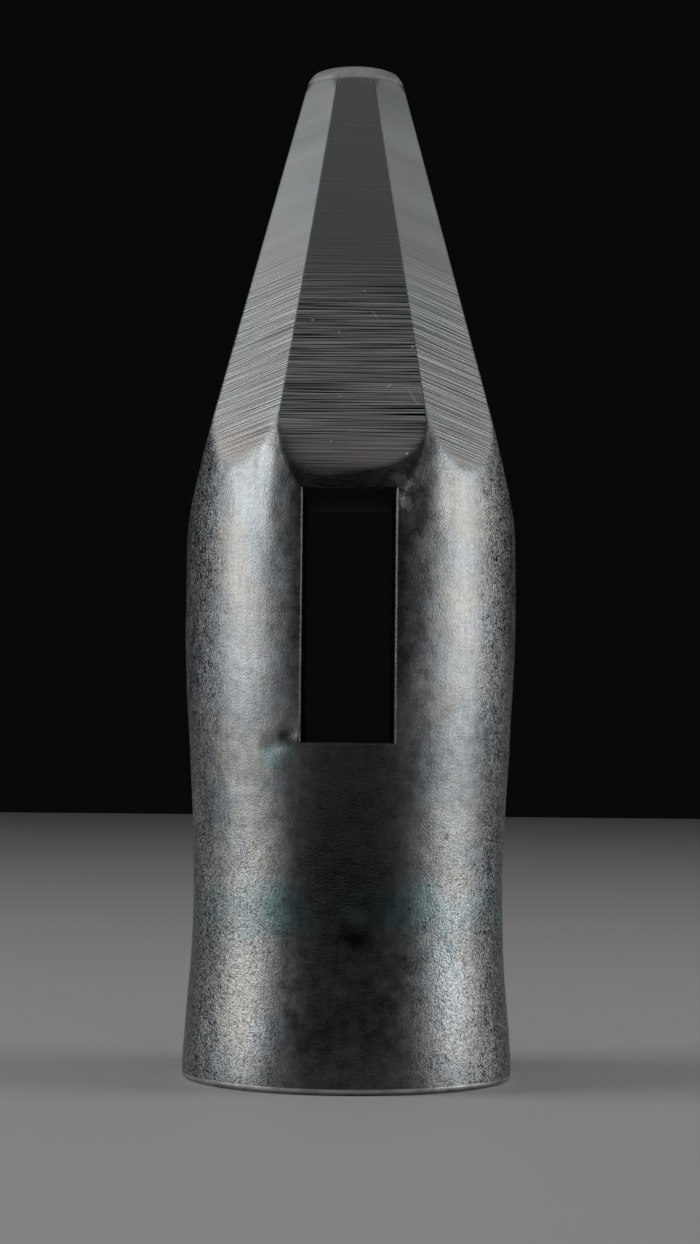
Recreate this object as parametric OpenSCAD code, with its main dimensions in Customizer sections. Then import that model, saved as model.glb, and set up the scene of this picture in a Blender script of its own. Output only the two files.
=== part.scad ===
// Head of a carpenter's hammer, without its handle. It is forged from soft steel, with a
// hard steel plate welded to the striking end and another to the tip of the peen. The
// striking end is round, with a waist, and the body swells into a belly round the eye.
// Above the eye the peen tapers in eight ground sides to a small domed tip.
//
// The head stands on its striking face, whose centre is the origin. Z runs up the head
// to the tip, the eye goes through along Y, and X is the way across the eye.
// All sizes are in millimetres and degrees.

/* [Head] */
// Length from the striking face to the tip of the peen
head_len = 95.6; // [79:0.1:115]

/* [Striking end] */
// Diameter of the rim round the striking face
rim_d = 31; // [29.5:0.1:38]
// Chamfer ground round the striking face
face_chamfer = 0.5; // [0.2:0.1:1.2]
// Thickness of the hard steel plate at the striking face
face_steel_t = 5; // [3:0.5:8]

/* [Round body] */
// Diameter of the waist, the narrowest place of the round body
waist_d = 29.2; // [24:0.1:31]
// Height of the waist above the striking face
waist_z = 17.7; // [12:0.1:24]
// How late the waist flares out to the rim, where 1 is an even curve
flare_lateness = 1.3; // [1:0.05:1.8]
// Diameter of the belly, at the middle of the eye
belly_d = 31.2; // [29.5:0.1:38]
// Distance above the eye's middle at which the shoulder has fallen in
shoulder_rise = 17.7; // [15:0.1:22]
// How far the shoulder's radius has fallen in by then
shoulder_fall = 0.83; // [0.4:0.01:1.5]

/* [Eye] */
// Height of the eye's middle above the striking face
eye_z = 43; // [36:0.1:52]
// Length of the eye, along the head
eye_len = 22.8; // [18:0.1:28]
// Width of the eye, across the head
eye_w = 8.3; // [6.5:0.1:10.5]
// Sideways shift of the hand-punched eye from the head's centre line
eye_shift = -0.2; // [-0.5:0.1:0.5]
// Chamfer filed round both mouths of the eye
eye_chamfer = 0.3; // [0.2:0.1:1]

/* [Peen] */
// Width across opposite flats at the tip, before the tip is domed
tip_flats_w = 8.1; // [6.7:0.1:10.5]
// Width across opposite bevels at the tip, before the tip is domed
tip_bevels_w = 7.7; // [6.4:0.1:10]
// Distance above the eye's middle at which the flats would reach the belly's radius
flats_rise = 8.4; // [6:0.1:11]
// Distance above the eye's middle at which the bevels would reach the belly's radius
bevels_rise = 12.5; // [10:0.1:16]
// Radius with which each flat rolls out into the belly
flat_roll_r = 21.4; // [14:0.1:30]
// Radius of the domed tip
tip_dome_r = 12; // [9:0.1:16]
// Length of the hard steel at the tip of the peen
peen_steel_len = 12; // [8:0.5:18]

/* [Hidden] */
$fn = 96;

// Steps along each curved stretch of the round body's outline, a flat's roll and the dome
curve_steps = 12;
roll_steps = 5;
dome_steps = 8;
// How far the cutting shapes reach past the head on every side
past = 4;
// The shoulder's curve goes on this far, as a share of its rise, before it runs straight
shoulder_end = 1.09;
// How far round the dome the blank's outline joins it, which is outside the tip's corners
dome_angle = 50;

rim_r = rim_d / 2;
waist_r = waist_d / 2;
belly_r = belly_d / 2;
tip_flat_r = tip_flats_w / 2;
tip_bevel_r = tip_bevels_w / 2;
clear_r = max(rim_r, belly_r) + past;

// Heights of the joints and of the places where the ground sides leave the round body
peen_joint_z = head_len - peen_steel_len;
flats_z = eye_z + flats_rise;
bevels_z = eye_z + bevels_rise;
shoulder_top_z = eye_z + shoulder_rise * shoulder_end;

// The angles at which the flats and the bevels lean in to the tip
flat_lean = atan((belly_r - tip_flat_r) / (head_len - flats_z));
bevel_lean = atan((belly_r - tip_bevel_r) / (head_len - bevels_z));

// Where a flat's roll starts, below the place where the flat would reach the belly
roll_low_z = flats_z - flat_roll_r * tan(flat_lean / 2);

// Where a filed mouth begins: the chamfer's depth inside the belly, at the eye's sides
mouth_y = sqrt(pow(belly_r, 2) - pow(eye_w / 2, 2)) - eye_chamfer;

// Rises from 0 to 1 with level ends, as t goes from 0 to 1
function ease(t) = (1 - cos(180 * t)) / 2;
// The round body's radius at a height: below the waist, up to the belly, and above it
function flare_r(z) = waist_r
    + (rim_r - waist_r) * ease(pow((waist_z - z) / waist_z, flare_lateness));
function swell_r(z) = waist_r + (belly_r - waist_r) * ease((z - waist_z) / (eye_z - waist_z));
function shoulder_r(z) = belly_r - shoulder_fall * pow((z - eye_z) / shoulder_rise, 4);
// Even steps from one value to another, without the last
function steps(from, to, count) = [for (i = [0:count - 1]) from + (to - from) * i / count];

// Half of the round blank's outline, from the centre of the striking face to the tip
blank_outline = concat(
    [[0, 0], [rim_r - face_chamfer, 0]],
    [for (z = steps(face_chamfer, waist_z, curve_steps)) [flare_r(z), z]],
    [for (z = steps(waist_z, eye_z, curve_steps)) [swell_r(z), z]],
    [for (z = steps(eye_z, shoulder_top_z, curve_steps)) [shoulder_r(z), z]],
    [[shoulder_r(shoulder_top_z), shoulder_top_z]],
    [for (a = steps(dome_angle, 0, dome_steps))
        [tip_dome_r * sin(a), head_len - tip_dome_r * (1 - cos(a))]],
    [[0, head_len]]
);

// What a flat leaves of the blank, seen from the side: clear of the body at first, then
// an arc that rolls in from the belly, then straight up past the tip
flat_outline = concat(
    [[-clear_r, -past], [clear_r, -past], [clear_r, roll_low_z]],
    [for (i = [0:roll_steps])
        let (lean = flat_lean * i / roll_steps)
            [belly_r - flat_roll_r * (1 - cos(lean)), roll_low_z + flat_roll_r * sin(lean)]],
    [[tip_flat_r - past * tan(flat_lean), head_len + past], [-clear_r, head_len + past]]
);

// The same for a bevel, which is straight all the way
bevel_outline = [
    [-clear_r, -past],
    [clear_r, -past],
    [clear_r, bevels_z - (clear_r - belly_r) / tan(bevel_lean)],
    [tip_bevel_r - past * tan(bevel_lean), head_len + past],
    [-clear_r, head_len + past]
];

// The forged blank, round all the way up, with its chamfered face and domed tip
module round_blank() {
    rotate_extrude() polygon(blank_outline);
}

// Everything that lies behind one ground side, which faces the way turn says
module behind_side(outline, turn) {
    rotate([0, 0, turn]) rotate([90, 0, 0])
        linear_extrude(height = 2 * clear_r, center = true) polygon(outline);
}

// The head between two heights, with its eight sides ground but its eye not yet punched
module ground_head(low, high) {
    intersection() {
        round_blank();
        intersection_for(turn = [0:90:270]) behind_side(flat_outline, turn);
        intersection_for(turn = [45:90:315]) behind_side(bevel_outline, turn);
        translate([-clear_r, -clear_r, low]) cube([2 * clear_r, 2 * clear_r, high - low]);
    }
}

// The eye and its filed mouth, seen along one edge: it widens outwards at 45 degrees
module mouth_wedge(half_w) {
    open = clear_r - mouth_y;
    linear_extrude(height = 2 * eye_len, center = true)
        polygon([[-half_w, 0], [half_w, 0], [half_w, mouth_y],
            [half_w + open, clear_r], [-half_w - open, clear_r], [-half_w, mouth_y]]);
}

// Half of the eye, from the head's centre plane out through the mouth on the side of +Y
module half_eye() {
    intersection() {
        mouth_wedge(eye_w / 2);
        rotate([0, 90, 0]) mouth_wedge(eye_len / 2);
    }
}

// The whole eye, with a filed mouth at each end
module eye() {
    translate([eye_shift, 0, eye_z]) {
        half_eye();
        mirror([0, 1, 0]) half_eye();
    }
}

// Soft steel body with the eye, between the joints of the two hard steel pieces
module body() {
    color("#5d6166") difference() {
        ground_head(face_steel_t, peen_joint_z);
        eye();
    }
}

// Hard steel plate with the striking face, forge-welded under the body
module face_steel() {
    color("#7a7f86") ground_head(0, face_steel_t);
}

// Hard steel end of the peen with the domed tip, forge-welded on top of the body
module peen_steel() {
    color("#9a9da0") ground_head(peen_joint_z, head_len);
}

body();
face_steel();
peen_steel();
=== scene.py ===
"""Looks of the carpenter's hammer head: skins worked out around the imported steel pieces."""

import bpy
import numpy as np
from mathutils import Matrix, Vector


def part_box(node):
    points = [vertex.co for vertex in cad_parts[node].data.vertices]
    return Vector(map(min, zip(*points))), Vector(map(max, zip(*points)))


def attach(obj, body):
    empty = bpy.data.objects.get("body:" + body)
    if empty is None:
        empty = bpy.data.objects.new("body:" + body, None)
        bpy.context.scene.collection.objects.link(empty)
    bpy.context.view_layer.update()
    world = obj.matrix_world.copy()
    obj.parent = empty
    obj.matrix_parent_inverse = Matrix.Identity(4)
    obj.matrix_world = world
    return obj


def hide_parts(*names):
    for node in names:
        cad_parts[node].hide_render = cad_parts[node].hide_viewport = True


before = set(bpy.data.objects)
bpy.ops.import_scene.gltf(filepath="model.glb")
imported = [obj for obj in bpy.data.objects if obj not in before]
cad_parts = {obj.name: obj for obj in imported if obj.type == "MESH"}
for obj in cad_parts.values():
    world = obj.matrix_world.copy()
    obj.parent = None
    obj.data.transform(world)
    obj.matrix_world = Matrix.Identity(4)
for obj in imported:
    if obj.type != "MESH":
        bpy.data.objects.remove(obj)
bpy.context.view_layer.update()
mm = 0.001


# ---------------------------------------------------------------- body
# The body is one soft steel forging. Its striking end is round, with a waist, and it swells
# into a belly round the eye, which is punched hot and filed at both mouths. Above the eye
# it is ground by hand into four flats and four bevels, and the rest keeps its forged skin.

body_low, body_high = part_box("body")
tip_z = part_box("peen_steel")[1].z
belly_r = body_high.x
rim_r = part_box("face_steel")[1].x
waist_r = 14.6 * mm
waist_z = 17.7 * mm
eye_z = 43.0 * mm
eye_x = -0.2 * mm
eye_half_w = 4.15 * mm
eye_half_l = 11.4 * mm
top_chamfer = 0.1 * mm
mouth_chamfer = 0.28 * mm
flats_z = eye_z + 8.4 * mm
bevels_z = eye_z + 12.5 * mm
tip_flat_r = 4.05 * mm
tip_bevel_r = 3.85 * mm
flat_slope = (belly_r - tip_flat_r) / (tip_z - flats_z)
bevel_slope = (belly_r - tip_bevel_r) / (tip_z - bevels_z)
roll_r = 21.4 * mm
edge_wear = 0.14 * mm
line_lean = np.radians(13)
flare_power = 1.3
fall_depth = 0.83 * mm
fall_height = 17.7 * mm
fall_limit = 1.2 * mm
corner_low_z = 60 * mm
ground_rows_z = 62 * mm
arch_z = 56.4 * mm
arch_rise = 3.2 * mm
arch_half_w = 6.7 * mm


def round_radius(z):
    """Radius of the forged round body at a height. Below the waist it flares out on half a
    cosine that starts late, above the waist it swells on half a cosine to the belly, and
    past the belly it falls in with the fourth power of the height."""
    flare = np.clip((waist_z - z) / waist_z, 0, 1) ** flare_power
    swell = np.clip((z - waist_z) / (eye_z - waist_z), 0, 1)
    low = waist_r + (rim_r - waist_r) * (1 - np.cos(np.pi * flare)) / 2
    high = waist_r + (belly_r - waist_r) * (1 - np.cos(np.pi * swell)) / 2
    fall = fall_depth * (np.clip(z - eye_z, 0, 1) / fall_height) ** 4
    return np.where(z < waist_z, low, high - np.minimum(fall, fall_limit))


def flat_depth(z):
    """Distance of a flat from the axis: a straight slope to the tip, which an arc rolls out
    into the belly, and which stands clear of the belly below that."""
    lean = np.arctan(flat_slope)
    start = flats_z - roll_r * np.tan(lean / 2)
    t = np.clip((z - start) / roll_r, 0, np.sin(lean))
    arc = belly_r - roll_r * (1 - np.sqrt(1 - t**2))
    straight = belly_r - flat_slope * (z - flats_z)
    return np.where(z > start + roll_r * np.sin(lean), straight, arc) + np.clip(start - z, 0, 1)


def bevel_depth(z):
    """Distance of a bevel from the axis: a straight slope all the way to the tip."""
    return belly_r - bevel_slope * (z - bevels_z)


def soft_min(a, b, width):
    """The lesser of two surfaces, with the crease between them rounded by wear over a width."""
    h = np.clip(width - np.abs(a - b), 0, None) / width
    return np.minimum(a, b) - h * h * width / 4


def from_nearest(angle, turn):
    """The angle measured from the nearest of four directions a quarter turn apart."""
    return (angle - turn + np.pi / 4) % (np.pi / 2) - np.pi / 4


# The forging's unevenness: how deep, in mm, how long its waves are, in mm, and their seed
unevennesses = ((0.04, 9, 1.3), (0.010, 2.6, 4.1))
wave_count = 14
wave_total = 5.6
golden_angle = 2.39996


def unevenness(angle, z, wave, seed):
    """Smooth unevenness of about -1 to 1 round the head: a sum of sine waves whose
    directions turn by the golden angle and whose wavelengths grow by even shares."""
    x, y = np.sin(angle) * belly_r, -np.cos(angle) * belly_r
    total = np.zeros(np.broadcast(angle, z).shape)
    for i in range(wave_count):
        tilt = np.arccos(1 - (i + 0.5) / (wave_count / 2))
        spin = golden_angle * i + seed
        k = 2 * np.pi / (wave * (0.7 + 0.06 * i))
        level = x * np.sin(tilt) * np.cos(spin) + y * np.sin(tilt) * np.sin(spin)
        along = level + z * np.cos(tilt)
        total += np.sin(k * along + 1.7 * i * seed)
    return total / wave_total


# Hollows in the front of the forging: a punch mark near the waist, dents where the eye was
# drifted. Each is its middle across and up, its half sizes, and its depth.
dents = (
    (0.6, 14.6, 0.95, 0.95, 0.10),
    (-5.5, 32.3, 0.8, 0.6, 0.22),
    (-6.9, 31.1, 1.0, 0.7, 0.12),
    (5.0, 53.4, 0.6, 0.9, 0.14),
)


# Soft ridges that run down from the corners of the front and back flats, lightened with a
# painted highlight: each is its place across, its lower and upper ends, its half width and
# its height.
ridges = (
    (7.7, 50.0, 60.0, 0.9, 0.05),
    (-7.2, 48.5, 60.0, 1.0, 0.06),
)


def ridge_share(x, z, across, low, high, half_w):
    """A ridge's cross-section, as a bell curve, times its fading ends."""
    ends = np.clip((z - low * mm) / (3 * mm), 0, 1) * np.clip((high * mm - z) / (1.5 * mm), 0, 1)
    return np.exp(-(((x - across * mm) / (half_w * mm)) ** 2)) * ends


def head_radius(angle, z):
    """Distance from the axis to the skin, at an angle from the front and a height: the
    nearest of the round body, the flats and the bevels, less its unevenness and dents."""
    flat = flat_depth(z) / np.cos(from_nearest(angle, 0))
    bevel = bevel_depth(z) / np.cos(from_nearest(angle, np.pi / 4))
    ground = soft_min(flat, bevel, edge_wear)
    forged = round_radius(z)
    r = soft_min(forged, ground, edge_wear)
    skin = np.clip((ground - forged) / (0.5 * mm) + 0.4, 0, 1)
    for depth, wave, seed in unevennesses:
        r = r - skin * depth * mm * (0.75 + unevenness(angle, z, wave * mm, seed))
    x = r * np.sin(angle)
    for across, up, half_w, half_h, depth in dents:
        reach = ((x - across * mm) / (half_w * mm)) ** 2 + ((z - up * mm) / (half_h * mm)) ** 2
        r = r - (np.cos(angle) > 0) * depth * mm * np.exp(-reach)
    for across, low, high, half_w, height in ridges:
        facing = np.sign(np.cos(angle))
        r = r + height * mm * ridge_share(x * facing, z, across, low, high, half_w)
    return r


def corner_angle(z):
    """Angle from the middle of a flat to its corner with a bevel, at a height."""
    z = np.maximum(z, corner_low_z)
    flat = belly_r - flat_slope * (z - flats_z)
    return np.arctan((np.sqrt(2) * bevel_depth(z) - flat) / flat)


def crowded(count, crowd, both):
    """Shares from 0 up to 1, with two more lines close to 0, and two close to 1 if both."""
    top = 1 - 2 * crowd if both else 1
    middle = np.linspace(2 * crowd, top, count + 1)
    return np.concatenate([[0, crowd], middle, [1 - crowd, 1] if both else []])


corner_columns = crowded(28, 0.012, True)
margin_columns = crowded(8, 0.04, False)
mouth_columns = np.linspace(0, 1, 21)
mouth_low = eye_z - eye_half_l - mouth_chamfer
mouth_high = eye_z + eye_half_l + top_chamfer


def column_angles(z):
    """Angles of the grid's columns at each height, once round the head and back to the
    start. They follow the corners of the ground sides, and the long sides of the eye's two
    mouths, which they keep a fixed share of the way out to beyond the eye."""
    corner = corner_angle(z)[:, None]
    near = np.clip(z, mouth_low, mouth_high)
    edges = [eye_x - eye_half_w - mouth_chamfer, eye_x + eye_half_w + mouth_chamfer]
    left, right = (
        (np.arcsin(x / head_radius(np.arcsin(x / belly_r), near)) / corner_angle(near))[:, None]
        for x in edges
    )
    front = np.concatenate([
        -1 + (left + 1) * margin_columns[:-1],
        left + (right - left) * mouth_columns[:-1],
        1 - (1 - right) * margin_columns[::-1],
    ], axis=1) * corner
    side = (2 * corner_columns - 1) * corner
    bevel = corner + (np.pi / 2 - 2 * corner) * corner_columns
    quarters = [front, bevel, np.pi / 2 + side, np.pi / 2 + bevel, np.pi - front[:, ::-1],
                np.pi + bevel, 1.5 * np.pi + side, 1.5 * np.pi + bevel]
    return np.concatenate([q[:, :-1] for q in quarters] + [2 * np.pi + front[:, :1]], axis=1)


# How many columns each side takes, where it starts, and which way its middle faces
side_counts = [2 * len(margin_columns) + len(mouth_columns) - 3] + [len(corner_columns) - 1] * 3
side_counts = side_counts + side_counts
side_starts = np.concatenate([[0], np.cumsum(side_counts)])
column_total = int(side_starts[-1])
column_facing = np.repeat(np.arange(8) * np.pi / 4, side_counts)


def skin_points(angle, z):
    """Points of the skin, as the head's radius carried round the axis at each height."""
    r = head_radius(angle, z)
    return np.stack([r * np.sin(angle), -r * np.cos(angle), z + 0 * angle], axis=-1)


def grid_quads(rows, columns, start=0):
    """Corner numbers of a grid's faces that goes once round, in rows from low to high."""
    j, i = np.meshgrid(np.arange(rows - 1), np.arange(columns), indexing="ij")
    n = (i + 1) % columns
    return np.stack([j * columns + i, j * columns + n, (j + 1) * columns + n,
                     (j + 1) * columns + i], axis=-1) + start


def fan(ring, middle):
    """Triangles from a ring of points to one point in its middle."""
    return np.stack([ring, np.roll(ring, -1), np.full(len(ring), middle)], axis=-1)


def make_piece(name, points, faces, node):
    """A mesh object from points and lists of faces, shaded smooth but for true edges, that
    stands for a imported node."""
    mesh = bpy.data.meshes.new(name)
    mesh.from_pydata(points.tolist(), [], [f for group in faces for f in group.tolist()])
    mesh.shade_smooth()
    mesh.set_sharp_from_angle(angle=np.radians(24))
    piece = bpy.data.objects.new(name, mesh)
    bpy.context.scene.collection.objects.link(piece)
    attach(piece, "root")
    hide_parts(node)
    return piece


grain_unit = 0.01
grain_offset = 7.3


def give_grain(piece, facing_of_face):
    """Writes a UV map that says where each face corner lies on its ground side: across it,
    and up the head, both in centimetres. On the bevels up leans over, because the lines
    ground there rise to the flats, and across starts at a place of each side's own, so no
    two sides share their lines. A second attribute says which faces belong to bevels.
    facing_of_face is the way each face's side faces."""
    mesh = piece.data
    co = np.empty(len(mesh.vertices) * 3)
    mesh.vertices.foreach_get("co", co)
    corner_vertex = np.empty(len(mesh.loops), int)
    mesh.loops.foreach_get("vertex_index", corner_vertex)
    loop_total = np.empty(len(mesh.polygons), int)
    mesh.polygons.foreach_get("loop_total", loop_total)
    facing = np.repeat(facing_of_face, loop_total)
    x, y, z = co.reshape(-1, 3)[corner_vertex].T
    across = x * np.cos(facing) + y * np.sin(facing)
    lean = np.sin(2 * facing) * np.tan(line_lean)
    uv = np.stack([across, z + lean * across], axis=-1) / grain_unit
    uv[:, 0] += grain_offset * facing
    mesh.uv_layers.new(name="grain").data.foreach_set("uv", uv.ravel())
    bevel = mesh.attributes.new("bevel", "FLOAT", "FACE")
    bevel.data.foreach_set("value", np.abs(np.sin(2 * facing_of_face)))


def give_mask(piece, name, values):
    """Writes one number for each point of a piece, for its material to read."""
    piece.data.attributes.new(name, "FLOAT", "POINT").data.foreach_set("value", values)


def ground_share(points):
    """How far a point lies on a ground side, from 0 to 1. The bevels end where they meet
    the round body, and the flats end sooner, in an arch from corner to corner."""
    x, y, z = points.T
    angle = np.arctan2(x, -y)
    flat = flat_depth(z) / np.cos(from_nearest(angle, 0))
    bevel = bevel_depth(z) / np.cos(from_nearest(angle, np.pi / 4))
    forged = round_radius(z)
    across = np.abs(np.sin(from_nearest(angle, 0))) * forged
    arch = arch_z + arch_rise * (across / arch_half_w) ** 4
    soft_side = np.clip(0.5 + x * np.sign(y) / (5 * mm), 0, 1)
    fade = (0.5 + 1.9 * soft_side) * mm
    on_bevel = (forged - bevel - 0.1 * mm) / (0.16 * mm) + 0.5
    on_flat = np.minimum((forged - flat) / (0.06 * mm) + 0.5, (z - arch) / fade + 0.5)
    return np.clip(np.where(bevel < flat, on_bevel, on_flat), 0, 1)


body_z = np.concatenate([
    np.linspace(body_low.z, mouth_low, 58)[:-1],
    np.linspace(mouth_low, mouth_high, 66)[:-1],
    np.linspace(mouth_high, ground_rows_z, 36)[:-1],
    np.linspace(ground_rows_z, body_high.z, 50),
])
body_angles = column_angles(body_z)[:, :-1]
body_skin = skin_points(body_angles, body_z[:, None])
body_quads = grid_quads(len(body_z), column_total)

# The eye's two mouths are left out of the skin, and their rims are walked once round
mouth_rows = np.searchsorted(body_z, [mouth_low - 0.01 * mm, mouth_high - 0.01 * mm])
first = len(margin_columns) - 1
last = first + len(mouth_columns) - 1
front_width = side_counts[0]
back_start = side_starts[4]
kept = np.ones(body_quads.shape[:2], bool)
back_end = back_start + front_width
kept[mouth_rows[0]:mouth_rows[1], first:last] = False
kept[mouth_rows[0]:mouth_rows[1], back_end - last:back_end - first] = False


def walk_mouth(column_of):
    """Point numbers once round a mouth's rim, given the column for each step across it."""
    across, up = np.arange(first, last + 1), np.arange(mouth_rows[0], mouth_rows[1] + 1)
    return np.concatenate([
        mouth_rows[0] * column_total + column_of(across)[:-1],
        up[:-1] * column_total + column_of(last),
        mouth_rows[1] * column_total + column_of(across)[:0:-1],
        up[:0:-1] * column_total + column_of(first),
    ])


front_rim = walk_mouth(lambda i: i)
back_rim = walk_mouth(lambda i: back_end - i)
skin_list = body_skin.reshape(-1, 3)


def eye_wall(rim, u):
    """A ring of the eye's filed mouth, from its rim at u = 0 to the straight wall at u = 1:
    half a straight chamfer and half a quarter round."""
    p = skin_list[rim]
    across = (u + np.sin(np.pi * u / 2)) / 2
    deep = (u + 1 - np.cos(np.pi * u / 2)) / 2
    wall_x = eye_x + (p[:, 0] - eye_x) * eye_half_w / (eye_half_w + mouth_chamfer)
    rim_middle, rim_half = (mouth_low + mouth_high) / 2, (mouth_high - mouth_low) / 2
    wall_z = eye_z + (p[:, 2] - rim_middle) * eye_half_l / rim_half
    return np.stack([
        p[:, 0] + (wall_x - p[:, 0]) * across,
        p[:, 1] * (1 - deep * mouth_chamfer / belly_r),
        p[:, 2] + (wall_z - p[:, 2]) * across,
    ], axis=-1)


mouth_steps = np.linspace(0, 1, 6)[1:]
wall_steps = np.linspace(0, 1, 26)[1:-1, None, None]
front_rings = np.stack([eye_wall(front_rim, u) for u in mouth_steps])
back_rings = np.stack([eye_wall(back_rim, u) for u in mouth_steps[::-1]])
wall_rings = front_rings[-1] + (back_rings[0] - front_rings[-1]) * wall_steps
eye_rings = np.concatenate([front_rings, wall_rings, back_rings])

# The eye's rings follow the skin's points, then the middles of the two hidden weld faces
ring_size = len(front_rim)
eye_start = len(skin_list)
eye_numbers = np.arange(len(eye_rings) * ring_size).reshape(len(eye_rings), ring_size)
eye_numbers = eye_numbers + eye_start
eye_numbers = np.concatenate([front_rim[None], eye_numbers, back_rim[None]])
eye_quads = np.stack([eye_numbers[:-1], eye_numbers[1:], np.roll(eye_numbers[1:], -1, axis=1),
                      np.roll(eye_numbers[:-1], -1, axis=1)], axis=-1)
eye_quads = eye_quads[..., ::-1]
weld_middles = np.array([[0, 0, body_low.z], [0, 0, body_high.z]])
body_points = np.concatenate([skin_list, eye_rings.reshape(-1, 3), weld_middles])
low_ring = np.arange(column_total)
high_ring = low_ring + (len(body_z) - 1) * column_total
body_faces = [
    body_quads[kept],
    eye_quads.reshape(-1, 4),
    fan(low_ring[::-1], len(body_points) - 2),
    fan(high_ring, len(body_points) - 1),
]

# Points that no face uses any more, inside the mouths, are dropped and the rest renumbered
used = np.zeros(len(body_points), bool)
used[np.concatenate([f.ravel() for f in body_faces])] = True
new_number = np.cumsum(used) - 1
body_faces = [new_number[f] for f in body_faces]
on_skin = (np.arange(len(body_points)) < eye_start)[used]
body_points = body_points[used]
body = make_piece("forged_body", body_points, body_faces, "body")
body_facing = np.broadcast_to(column_facing, body_quads.shape[:2])[kept]
give_grain(body, np.concatenate([body_facing, np.zeros(sum(len(f) for f in body_faces[1:]))]))
give_mask(body, "ground", ground_share(body_points) * on_skin)
# The eye's walls take painted shade in full, and the rings of its filed mouths take most of it.
in_wall = np.ones(eye_rings.shape[:2])
in_wall[:len(front_rings) - 1] = in_wall[-len(back_rings) + 1:] = 0.6
in_wall = np.concatenate([np.zeros(eye_start), in_wall.ravel(), [0, 0]])[used]
give_mask(body, "eye_wall", in_wall)
# Where the ridges stand, the skin gets a painted highlight for the light they catch.
worn = sum(
    ridge_share(body_points[:, 0] * -np.sign(body_points[:, 1]), body_points[:, 2], *ridge[:4])
    for ridge in ridges
)
give_mask(body, "worn", np.clip(worn, 0, 1) * on_skin)


class Link:
    """A socket in a material's node tree. Operators on it add Math nodes."""

    def __init__(self, tree, socket):
        self.tree = tree
        self.socket = socket

    def add(self, kind, settings, inputs, out=0):
        """Adds a node: its settings first, with a ramp's stops as (place, grey or colour),
        then the values or links of its inputs. Gives back the output asked for."""
        node = self.tree.nodes.new("ShaderNode" + kind)
        for key, value in settings.items():
            if key == "stops":
                ramp = node.color_ramp.elements
                while len(ramp) < len(value):
                    ramp.new(1.0)
                for stop, (place, colour) in zip(ramp, value):
                    stop.position = place
                    stop.color = (*(colour if isinstance(colour, tuple) else (colour,) * 3), 1)
            else:
                setattr(node, key, value)
        for key, value in inputs.items():
            if isinstance(value, Link):
                self.tree.links.new(value.socket, node.inputs[key])
            else:
                node.inputs[key].default_value = value
        return Link(self.tree, node.outputs[out])

    def math(self, operation, *values):
        """A Math node on some values, or on this one alone if none is given."""
        return self.add("Math", {"operation": operation}, dict(enumerate(values or (self,))))

    def __add__(self, other):
        return self.math("ADD", self, other)

    def __sub__(self, other):
        return self.math("SUBTRACT", self, other)

    def __rsub__(self, other):
        return self.math("SUBTRACT", other, self)

    def __mul__(self, other):
        return self.math("MULTIPLY", self, other)

    __radd__ = __add__
    __rmul__ = __mul__

    def least(self, other):
        """The lesser of this and another number."""
        return self.math("MINIMUM", self, other)

    def above(self, low, high):
        """0 below low, 1 above high, and smooth between them."""
        return self.add("MapRange", {"interpolation_type": "SMOOTHSTEP"},
                        {"Value": self, "From Min": low, "From Max": high})

    def scaled(self, *factors):
        """A vector stretched by a factor along each axis."""
        return self.add("VectorMath", {"operation": "MULTIPLY"}, {0: self, 1: factors})

    def parts(self):
        """The three parts of a vector."""
        return [self.add("SeparateXYZ", {}, {0: self}, out=i) for i in range(3)]

    def dimmed(self, share):
        """A colour times a number."""
        return self.add("VectorMath", {"operation": "SCALE"}, {0: self, "Scale": share})

    def noise(self, scale, detail=3.0, rough=0.55):
        """Cloudy noise at this vector, from 0 to 1."""
        return self.add("TexNoise", {}, {"Vector": self, "Scale": scale, "Detail": detail,
                                         "Roughness": rough})

    def mix(self, low, high):
        """A colour between two others, by this share."""
        return self.add("Mix", {"data_type": "RGBA"}, {0: self, 6: low, 7: high}, out=2)


def new_finish(name):
    """An empty material, its output, and the coordinates that its patterns start from."""
    material = bpy.data.materials.new(name)
    material.use_nodes = True
    tree = material.node_tree
    tree.nodes.clear()
    output = tree.nodes.new("ShaderNodeOutputMaterial")
    start = Link(tree, None)
    place = start.add("TexCoord", {}, {}, out=3)
    return material, output, start, place


def steel(start, colour, rough, bumps, **constants):
    """A steel surface whose colour, roughness and bumps vary. bumps is a list of (height,
    depth in metres), from the finest to the coarsest."""
    normal = None
    for height, depth in bumps[::-1]:
        inputs = {"Height": height, "Distance": depth, "Strength": 1.0}
        if normal:
            inputs["Normal"] = normal
        normal = start.add("Bump", {}, inputs)
    inputs = {"Base Color": colour, "Roughness": rough, "Metallic": 1.0, "Normal": normal}
    return start.add("BsdfPrincipled", {}, {**inputs, **constants})


def sharper(noise, gain):
    """Noise with its contrast raised about its middle value."""
    return (noise - 0.5) * gain + 0.5


# Nicks, scratches, stains, pale patches and blue-green patches on the front, as ellipses:
# middle across and up, half length and half width, all in mm, and the angle in degrees that
# its length rises to the right.
nicks = (
    (-3.75, 70.1, 0.14, 0.09, 20), (1.0, 72.9, 0.10, 0.07, 0), (-1.3, 69.0, 0.12, 0.10, 80),
    (5.4, 67.6, 0.16, 0.08, 85), (-1.1, 62.9, 0.10, 0.07, 0), (-1.9, 58.7, 0.09, 0.09, 0),
    (4.95, 57.6, 0.18, 0.12, 120), (3.3, 63.9, 0.30, 0.05, 38), (5.4, 63.0, 1.2, 0.03, 122),
    (2.0, 70.6, 0.75, 0.03, 125), (-12.2, 28.3, 0.9, 0.04, 105), (-13.1, 36.2, 0.2, 0.06, 90),
)
deep_lines = (
    (-4.2, 66.8, 1.35, 0.05, 0), (-0.9, 65.4, 2.5, 0.05, 0.5), (0.5, 68.4, 1.8, 0.03, 0),
    (2.5, 61.0, 2.2, 0.035, 0.5), (-2.0, 63.9, 2.4, 0.03, 0),
)
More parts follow.
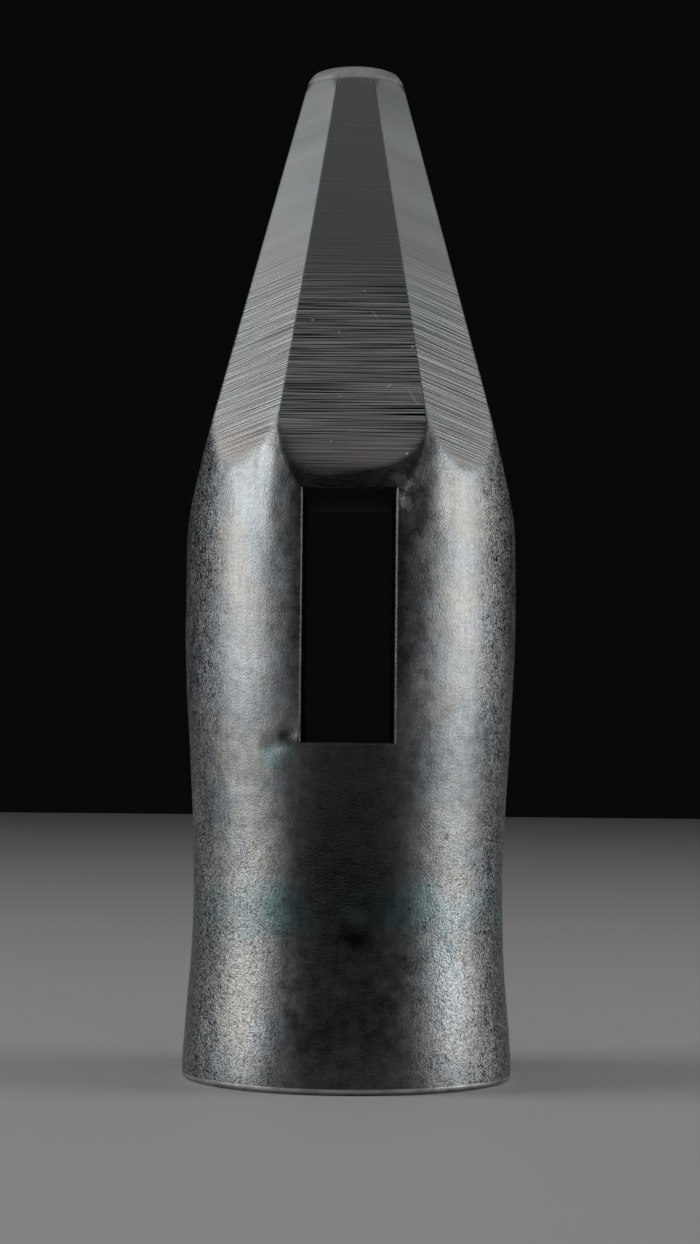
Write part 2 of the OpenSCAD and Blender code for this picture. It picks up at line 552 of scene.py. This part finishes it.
stains = (
    (0.58, 14.3, 1.9, 1.7, 0), (-5.7, 31.9, 1.2, 0.8, 60), (6.4, 52.2, 2.6, 0.8, 85),
    (-5.75, 17.35, 0.34, 0.28, 0), (8.9, 23.1, 0.4, 0.25, 80), (5.5, 16.6, 0.3, 0.2, 20),
    (9.4, 14.4, 0.3, 0.18, 60), (7.3, 18.7, 0.22, 0.16, 0), (-8.4, 12.9, 0.25, 0.18, 30),
)
white_patches = (
    (4.6, 55.0, 1.1, 0.7, 140), (-7.5, 57.8, 1.9, 0.7, 80), (5.0, 53.1, 0.9, 0.7, 90),
)
teal_patches = (
    (-6.8, 30.4, 2.0, 1.6, 0), (4.5, 16.7, 4.4, 1.9, 3), (-5.5, 16.2, 2.4, 1.9, 0),
)


def from_marks(place, marks):
    """Distance from the nearest of some ellipses on the front, where 1 is an ellipse's edge."""
    nearest = 9.0
    for across, up, half_long, half_wide, tilt in marks:
        local = place.add("Mapping", {"vector_type": "TEXTURE"}, {
            0: place, "Location": (across * mm, 0, up * mm),
            "Rotation": (0, -np.radians(tilt), 0),
            "Scale": (half_long * mm, 1, half_wide * mm)})
        reach = place.add("VectorMath", {"operation": "LENGTH"}, {0: local}, out=1)
        nearest = reach.least(nearest)
    return nearest + place.parts()[1].above(-0.001, 0) * 9.0


def ground_steel(start, place):
    """Steel ground by hand across each side: fine level lines, deepest just above the eye,
    bands where the stone turned, bright nicks, a faint blue and straw tint, and painted light
    and shade by height: the bevels darker low and paler towards the tip, the flats paler low
    and darker high."""
    grain = start.add("UVMap", {"uv_map": "grain"}, {})
    z = place.parts()[2]
    bevel = start.add("Attribute", {"attribute_name": "bevel"}, {}, out=2)
    calm = 1 - z.above(0.07, 0.079) * 0.85
    coarse = (z.above(0.0575, 0.061) * 0.9 + 0.55) * calm * (1 - bevel * 0.5)
    lines = (grain.scaled(0.3, 62, 1).noise(1.0, 1.0, 0.6).above(0.36, 0.64) - 0.5) * calm
    fine = (grain.scaled(0.8, 100, 1).noise(1.0, 1.0, 0.6).above(0.36, 0.64) - 0.5) * calm
    deep = grain.scaled(0.35, 55, 3.7).noise(1.0, 0.0).above(0.6, 0.68)
    wobble = grain.scaled(0.3, 6, 1).noise(1.0, 2.0)
    ribs = (grain.parts()[1] * 205.0 + wobble * 30.0).math("SINE")
    # Painted light and shade by height: the bevels get a painted highlight towards the tip,
    # where the lamps reach them less, and the flats are made paler low and darker high.
    high = z.above(0.062, 0.09)
    dim = (1 + bevel * (high * 0.75 - 0.25)
           + (1 - bevel) * (z.above(0.066, 0.057) * 0.25 - z.above(0.066, 0.079) * 0.34))
    bands = grain.scaled(0.3, 3.2, 1).noise(1.0, 3.0, 0.5)
    cloud = place.noise(150.0, 3.0)
    tint = cloud.above(0.35, 0.65).mix((0.335, 0.36, 0.368, 1), (0.36, 0.357, 0.35, 1))
    brown = (1 - z.above(0.055, 0.063)) * cloud.above(0.4, 0.6)
    tint = brown.mix(tint, (0.36, 0.325, 0.3, 1))
    gouges = from_marks(place, deep_lines).above(1.1, 0.5)
    bright = from_marks(place, nicks).above(1.1, 0.6)
    level = (1.0 + (lines * 0.2 + fine * 1.1 + ribs * 0.3 - deep * 0.2) * coarse) * dim
    rough = 0.34 + bands * 0.12 + bright * 0.25
    bumps = [(fine, 0.000004), (lines, 0.000004), (bands, 0.00001)]
    return steel(start, tint.dimmed(level - gouges * 0.3 + bright * 1.4), rough, bumps)


def forged_steel(start, place):
    """The forged skin: sanded scale with fine dark pits, grainy on the flanks, glossier along
    the middle with painted shade darkening it, painted shade further out on the flanks, faint
    painted glints, a painted highlight on the ridges, and the blues and straws of its last
    heat in a cloudy band round the head. Distances and heights are in metres."""
    x, _, z = place.parts()
    aside = x.math("ABSOLUTE")
    flank = aside.above(0.0112, 0.0146)
    grainy = (flank + aside.above(0.004, 0.009) * z.above(0.028, 0.018) * 0.3).least(1.0)
    # Further out on the flanks the colour is darkened with painted shade.
    outer_painted_shade = aside.above(0.0095, 0.0125)
    # Along the middle, which faces the camera and reflects the dark room, the skin is made
    # glossier and its colour is darkened with painted shade.
    middle_gloss_and_painted_shade = aside.above(0.0072, 0.0015) * (z.above(0.008, 0.02) * 0.6 + 0.4)
    heat = z.above(0.013, 0.019) * z.above(0.05, 0.036)
    grit = sharper(place.noise(6200.0, 1.0, 0.5), 2.6)
    sand = sharper(place.noise(3000.0, 3.0, 0.65), 2.2)
    clouds = sharper(place.noise(800.0, 2.0, 0.5), 2.0)
    patches = sharper(place.scaled(1, 1, 0.8).noise(150.0, 3.0, 0.6), 1.8)
    # The ridges' mask: a painted highlight added to the level below.
    worn = start.add("Attribute", {"attribute_name": "worn"}, {}, out=2)
    warm = patches.above(0.3, 0.8).mix((0.143, 0.155, 0.163, 1), (0.16, 0.157, 0.15, 1))
    wander = place.scaled(1, 1, 1.7).noise(230.0, 4.0, 0.6)
    band = ((z * 200.0 - 3.25) + wander * 2.2 - 1.1).math("ABSOLUTE").above(0.75, 0.1)
    patch = (from_marks(place, teal_patches) + wander * 2.0 + sand * 0.5 - 1.25).above(1.1, 0.5)
    teal = (band * 0.45 + patch * 0.75 + wander.above(0.58, 0.75) * 0.3).least(1.0)
    tint = teal.mix(warm, (0.112, 0.158, 0.164, 1))
    stain = (from_marks(place, stains) + clouds * 0.5 - 0.25).above(1.2, 0.3)
    pale = (from_marks(place, white_patches) + sand * 1.2 + clouds - 1.1).above(1.1, 0.5)
    bright = from_marks(place, nicks).above(1.1, 0.6)
    pits = (sand * 0.5 + grit * 0.25 + clouds * 0.25).above(0.6, 0.85)
    # Faint painted glints: tiny bright specks in the colour where grains would catch the lamps.
    painted_glints = place.noise(4300.0, 0.0).above(0.7, 0.76)
    brushed = place.scaled(1, 1, 0.12).noise(2600.0, 2.0) - 0.5
    turned = place.scaled(0.15, 0.15, 1).noise(4000.0, 2.0) - 0.5
    level = (0.4 + grit * 0.25 + sand * 0.32 + clouds * 0.52 + patches * 0.2 + heat * 0.16
             + brushed * 0.5 + turned * 0.4 - outer_painted_shade * 0.2
             + worn * 0.2 + pale * 1.1 + bright + painted_glints * 0.06 - pits * 0.15
             + (grit * 2.4 + sand * 2.8 - pits * 0.8 - 2.2) * grainy)
    rough = 0.29 + clouds * 0.1 + patches * 0.08 + pale * 0.1 - middle_gloss_and_painted_shade * 0.15
    rise = grainy + 0.4
    bumps = [(grit * rise, 0.000014), (sand * rise, 0.000009), (clouds, 0.00001)]
    shade = level * (1 - stain * 0.5) * (1 - middle_gloss_and_painted_shade * 0.6)
    return steel(start, tint.dimmed(shade), rough, bumps)


def body_finish():
    """The body's finish: the forged skin, the ground sides by their mask, and the eye's
    walls, which are painted near black and dull as shade."""
    material, output, start, place = new_finish("forged_and_ground_steel")
    ground = start.add("Attribute", {"attribute_name": "ground"}, {}, out=2)
    wall = start.add("Attribute", {"attribute_name": "eye_wall"}, {}, out=2)
    forged, flats = forged_steel(start, place), ground_steel(start, place)
    skin = start.add("MixShader", {}, {0: ground, 1: forged, 2: flats})
    # The eye's walls are a near-black, dull surface with its reflection turned down: painted
    # shade for the inside of the eye.
    scale = place.noise(900.0, 4.0, 0.6)
    black = steel(start, scale.mix((0.004, 0.004, 0.004, 1), (0.016, 0.015, 0.015, 1)),
                  0.7 + scale * 0.25, [(scale, 0.00004)],
                  **{"Metallic": 0.0, "Specular IOR Level": 0.05})
    whole = start.add("MixShader", {}, {0: wall, 1: skin, 2: black})
    start.tree.links.new(whole.socket, output.inputs["Surface"])
    return material


body.data.materials.append(body_finish())


# ---------------------------------------------------------------- face_steel
# A hard steel plate is forge-welded under the body and flares on to the rim of the striking
# face. Its side carries on the forged skin, and its chamfer and face are ground bright.

face_low, face_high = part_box("face_steel")
face_chamfer = 0.5 * mm
face_z = face_low.z + face_chamfer + np.concatenate([
    [0, 0.06 * mm, 0.12 * mm],
    np.linspace(0.3 * mm, face_high.z - face_low.z - face_chamfer, 18),
])
face_angles = column_angles(face_z)[:, :-1]
face_skin = skin_points(face_angles, face_z[:, None])

# The chamfer turns in from the side, and the face runs in from the chamfer to its middle
chamfer_share = np.linspace(0, 1, 7)[:-1, None]
face_share = np.linspace(1, 0, 19)[:-1, None]
rim_ring = np.hypot(face_skin[0, :, 0], face_skin[0, :, 1])
flat_ring = rim_ring - face_chamfer
ring_angles = face_angles[:1]


def ring_points(radius, angle, z):
    """Points at a radius from the axis, an angle from the front, and a height."""
    return np.stack([radius * np.sin(angle), -radius * np.cos(angle), z + 0 * radius], axis=-1)


chamfer_out = np.sin(chamfer_share * np.pi / 2)
chamfer_up = 1 - np.cos(chamfer_share * np.pi / 2)
chamfer_rings = ring_points(flat_ring + face_chamfer * chamfer_out, ring_angles,
                            face_low.z + face_chamfer * chamfer_up)
face_rings = ring_points(flat_ring * face_share[::-1][:-1], ring_angles, face_low.z)
face_points = np.concatenate([
    face_rings.reshape(-1, 3), chamfer_rings.reshape(-1, 3), face_skin.reshape(-1, 3),
    [[0, 0, face_low.z], [0, 0, face_high.z]],
])
face_row_count = len(face_rings) + len(chamfer_rings) + len(face_skin)
face_faces = [
    grid_quads(face_row_count, column_total).reshape(-1, 4),
    fan(np.arange(column_total)[::-1], len(face_points) - 2),
    fan(np.arange(column_total) + (face_row_count - 1) * column_total, len(face_points) - 1),
]
face_plate = make_piece("striking_face", face_points, face_faces, "face_steel")
in_chamfer = np.zeros(len(face_points))
in_chamfer[:(len(face_rings) + len(chamfer_rings) + 2) * column_total] = 1
in_chamfer[(len(face_rings) + 1) * column_total:][:4 * column_total] = 0.35
in_chamfer[-2] = 1
give_mask(face_plate, "ground", in_chamfer)


def face_finish():
    """The plate's finish: the forged skin on its side, and bright turned rings on its
    chamfer and face, with the small bruises that nails leave."""
    material, output, start, place = new_finish("struck_and_ground_steel")
    ground = start.add("Attribute", {"attribute_name": "ground"}, {}, out=2)
    bruise = place.noise(420.0, 4.0, 0.6)
    fine = place.noise(3800.0, 3.0, 0.6)
    colour = bruise.above(0.4, 0.6).mix((0.42, 0.42, 0.43, 1), (0.62, 0.61, 0.59, 1))
    bright = steel(start, colour, 0.22 + bruise * 0.16, [(fine, 0.000004), (bruise, 0.00003)])
    whole = start.add("MixShader", {}, {0: ground, 1: forged_steel(start, place), 2: bright})
    start.tree.links.new(whole.socket, output.inputs["Surface"])
    return material


face_plate.data.materials.append(face_finish())


# ---------------------------------------------------------------- peen_steel
# The end of the peen is hard steel, forge-welded to the body and ground with it, so its
# eight sides run straight on from the body's. Its tip is domed and polished by use.

peen_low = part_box("peen_steel")[0]
dome_r = 12.0 * mm
tip_start = tip_z - 6 * mm
shoulder_wear = 0.95 * mm
dome_corner_wear = 0.8 * mm
dome_corner_reach = 1.5 * mm


def tip_reaches(angle, polar):
    """How far rays from a point inside the tip, at an angle from the front and a polar angle
    from the top, run to the ground side they meet first, and to the sphere of the dome.
    The corners between the ground sides are rounded more by wear close to the dome."""
    out, up = np.sin(polar), np.cos(polar)
    flat = flat_depth(tip_start) / (out * np.cos(from_nearest(angle, 0)) + flat_slope * up)
    on_bevel = np.cos(from_nearest(angle, np.pi / 4))
    bevel = bevel_depth(tip_start) / (out * on_bevel + bevel_slope * up)
    above_centre = tip_start - (tip_z - dome_r)
    dome = np.sqrt((up * above_centre) ** 2 + dome_r**2 - above_centre**2) - up * above_centre
    near_dome = np.clip(1 - np.abs(dome - flat) / dome_corner_reach, 0, 1)
    return soft_min(flat, bevel, edge_wear + dome_corner_wear * near_dome), dome + 0 * flat


peen_z = np.linspace(peen_low.z, tip_start, 10)
peen_angles = column_angles(peen_z)[:, :-1]
polar = np.radians(90 * (1 - np.linspace(0, 1, 81)[1:-1, None] ** 0.85))
turn_in = np.linspace(0, 1, len(polar))[:, None]
tip_angles = column_angles(tip_start + turn_in[:, 0] * (tip_z - tip_start) * 0.8)[:, :-1]
ground_reach, dome_reach = tip_reaches(tip_angles, polar)
tip_reach = soft_min(ground_reach, dome_reach, shoulder_wear)
tip_points = np.stack([
    tip_reach * np.sin(polar) * np.sin(tip_angles),
    -tip_reach * np.sin(polar) * np.cos(tip_angles),
    tip_start + tip_reach * np.cos(polar),
], axis=-1)
peen_points = np.concatenate([
    skin_points(peen_angles, peen_z[:, None]).reshape(-1, 3),
    tip_points.reshape(-1, 3),
    [[0, 0, peen_low.z], [0, 0, tip_z]],
])
peen_rows = len(peen_z) + len(tip_points)
peen_quads = grid_quads(peen_rows, column_total)
peen_faces = [
    peen_quads.reshape(-1, 4),
    fan(np.arange(column_total)[::-1], len(peen_points) - 2),
    fan(np.arange(column_total) + (peen_rows - 1) * column_total, len(peen_points) - 1),
]
peen = make_piece("peen_end", peen_points, peen_faces, "peen_steel")
peen_facing = np.broadcast_to(column_facing, peen_quads.shape[:2]).ravel()
give_grain(peen, np.concatenate([peen_facing, np.zeros(2 * column_total)]))
on_dome = np.clip((ground_reach + shoulder_wear * 0.9 - dome_reach) / (0.1 * mm), 0, 1)
give_mask(peen, "dome", np.concatenate([np.zeros(peen_angles.size), on_dome.ravel(), [0, 1]]))


def peen_finish():
    """The peen end's finish: ground sides, and a smooth bright dome with faint scratches."""
    material, output, start, place = new_finish("ground_peen_steel")
    dome = start.add("Attribute", {"attribute_name": "dome"}, {}, out=2)
    fine = place.noise(2600.0, 3.0, 0.6)
    wear = place.noise(500.0, 3.0, 0.6)
    colour = wear.above(0.35, 0.65).mix((0.46, 0.46, 0.46, 1), (0.58, 0.57, 0.55, 1))
    bright = steel(start, colour, 0.52 + wear * 0.1, [(fine, 0.000004), (wear, 0.00001)])
    whole = start.add("MixShader", {}, {0: dome, 1: ground_steel(start, place), 2: bright})
    start.tree.links.new(whole.socket, output.inputs["Surface"])
    return material


peen.data.materials.append(peen_finish())


# ---------------------------------------------------------------- stage
# A pale bench top in a dim room, with a softbox on each side and a wide one overhead. The
# camera stands low in front of the head and looks up a little, through a long lens.

def plain_finish(name, colour, rough):
    """A plain, matt finish for the stage."""
    material, output, start, place = new_finish(name)
    cloud = place.noise(12.0, 2.0)
    shade = cloud.mix((*(c * 0.97 for c in colour), 1), (*colour, 1))
    surface = start.add("BsdfPrincipled", {}, {"Base Color": shade, "Roughness": rough})
    start.tree.links.new(surface.socket, output.inputs["Surface"])
    return material


floor_half = 0.9
floor_mesh = bpy.data.meshes.new("bench_top")
floor_corners = np.array([[-1, -1, 0], [1, -1, 0], [1, 1, 0], [-1, 1, 0]]) * floor_half
floor_mesh.from_pydata(floor_corners.tolist(), [], [[0, 1, 2, 3]])
floor = bpy.data.objects.new("bench_top", floor_mesh)
bpy.context.scene.collection.objects.link(floor)
floor_mesh.materials.append(plain_finish("pale_bench_top", (0.64, 0.635, 0.625), 0.6))

middle = Vector((0, 0, tip_z / 2))


def softbox(name, place, size, watts):
    """A rectangular lamp at a place, turned to the middle of the head."""
    lamp = bpy.data.lights.new(name, "AREA")
    lamp.shape = "RECTANGLE"
    lamp.size, lamp.size_y = size
    lamp.energy = watts
    holder = bpy.data.objects.new(name, lamp)
    holder.location = place
    holder.rotation_euler = (middle - Vector(place)).to_track_quat("-Z", "Y").to_euler()
    bpy.context.scene.collection.objects.link(holder)


softbox("left_softbox", (-0.54, -0.09, 0.155), (0.34, 0.25), 1.75)
softbox("right_softbox", (0.54, -0.05, 0.12), (0.34, 0.235), 1.5)
softbox("top_softbox", (0.0, -0.1, 0.7), (0.8, 1.2), 1.15)

world = bpy.data.worlds.new("dim_room")
world.use_nodes = True
world.node_tree.nodes["Background"].inputs["Color"].default_value = (0.0025, 0.0026, 0.0027, 1)
world.node_tree.nodes["Background"].inputs["Strength"].default_value = 1.0
bpy.context.scene.world = world
bpy.context.scene.view_settings.view_transform = "Standard"

camera_distance = 0.284
camera_height = 0.0323
camera_side = -0.05 * mm
camera_pitch = np.radians(2.13)
camera_roll = np.radians(0.55)
sensor_height = 36.0
focal_heights = 3000 / 1244
lens = bpy.data.cameras.new("camera")
lens.sensor_fit = "VERTICAL"
lens.sensor_height = sensor_height
lens.lens = sensor_height * focal_heights
camera = bpy.data.objects.new("camera", lens)
aim = Matrix.Rotation(np.pi / 2 + camera_pitch, 4, "X") @ Matrix.Rotation(camera_roll, 4, "Z")
camera.matrix_world = Matrix.Translation((camera_side, -camera_distance, camera_height)) @ aim
bpy.context.scene.collection.objects.link(camera)
bpy.context.scene.camera = camera
